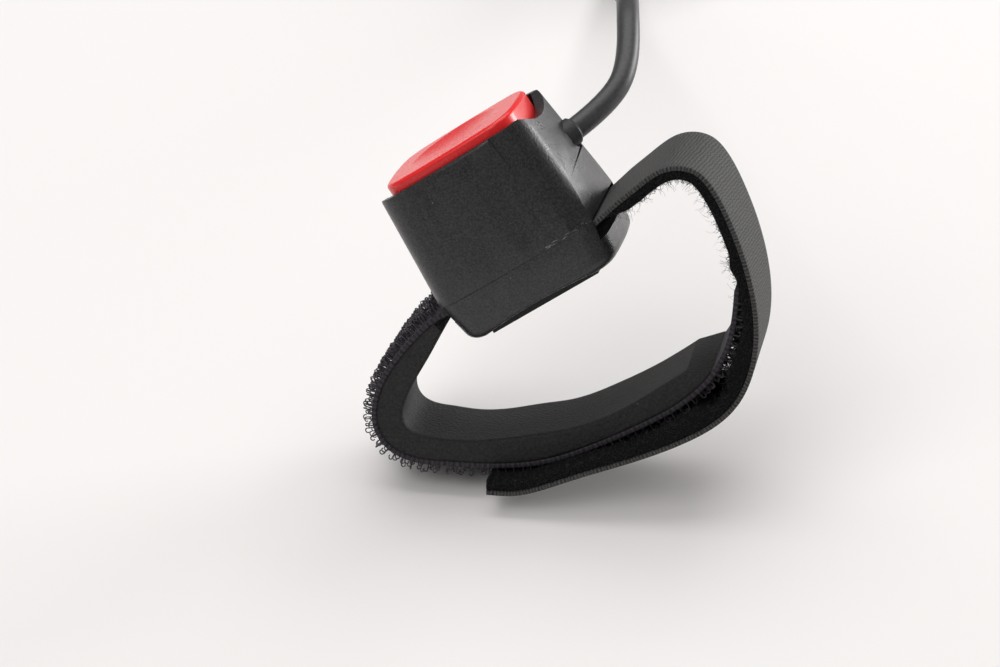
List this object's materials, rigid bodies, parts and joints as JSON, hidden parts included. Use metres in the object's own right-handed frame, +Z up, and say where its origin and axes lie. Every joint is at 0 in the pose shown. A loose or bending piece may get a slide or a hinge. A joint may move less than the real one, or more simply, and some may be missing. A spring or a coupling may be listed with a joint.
{
  "type": "push-to-talk switch",
  "caption": "Push-to-talk switch with a dished red button in a black moulded housing, worn on a foam-lined hook-and-loop strap, with a thin cord and jack plug.",
  "frame": {"origin": "middle of the bounding box at its lowest point, without the cord, its coil and its plug", "axes": "+X to the right across the strap ring, +Y away from the viewer along the ring's axis, +Z up"},
  "size_m": [0.0682, 0.2723, 0.0695],
  "materials": {
    "housing": "fine moulded texture, satin",
    "pad_rubber": "smooth matte sheet",
    "button": "satin red",
    "board": "laminate with solder mask",
    "switch_case": "moulded",
    "plunger": "moulded",
    "terminals": "tinned pins",
    "relief": "moulded",
    "wire_red": "extruded insulation",
    "wire_black": "extruded insulation",
    "foam": "closed-cell foam with a smooth skin",
    "hook_fabric": "woven tape with moulded hooks",
    "loop_fabric": "woven twill backing with brushed pile",
    "cord_jacket": "satin extruded jacket",
    "tie_fabric": "thin hook-and-loop tie",
    "plug_rubber": "moulded ribbed sleeve",
    "plug_plastic": "moulded",
    "jack_metal": "plated",
    "insulator": "moulded ring"
  },
  "bodies": {
    "housing": {"upper_housing": "housing", "lower_shell": "housing", "saddle_pad": "pad_rubber", "circuit_board": "board", "switch_body": "switch_case", "switch_terminals": "terminals", "strain_relief": "relief", "conductor_red": "wire_red", "conductor_black": "wire_black", "foam_lining": "foam", "hook_tape": "hook_fabric", "loop_tape": "loop_fabric", "cord": "cord_jacket", "cord_coil": "cord_jacket", "cord_tail": "cord_jacket", "coil_tie": "tie_fabric", "plug_boot": "plug_rubber", "plug_body": "plug_plastic", "jack_sleeve": "jack_metal", "jack_insulator": "insulator", "jack_tip": "jack_metal"},
    "button": {"button_cap": "button", "switch_plunger": "plunger"}
  },
  "joints": [
    {"name": "button_press", "type": "slide", "parent": "housing", "child": "button", "axis": [0.5664, -0.1713, -0.8061], "range_m": [0, 0.0012], "stiffness_N_per_m": 1500, "springref_m": -0.0006}
  ]
}
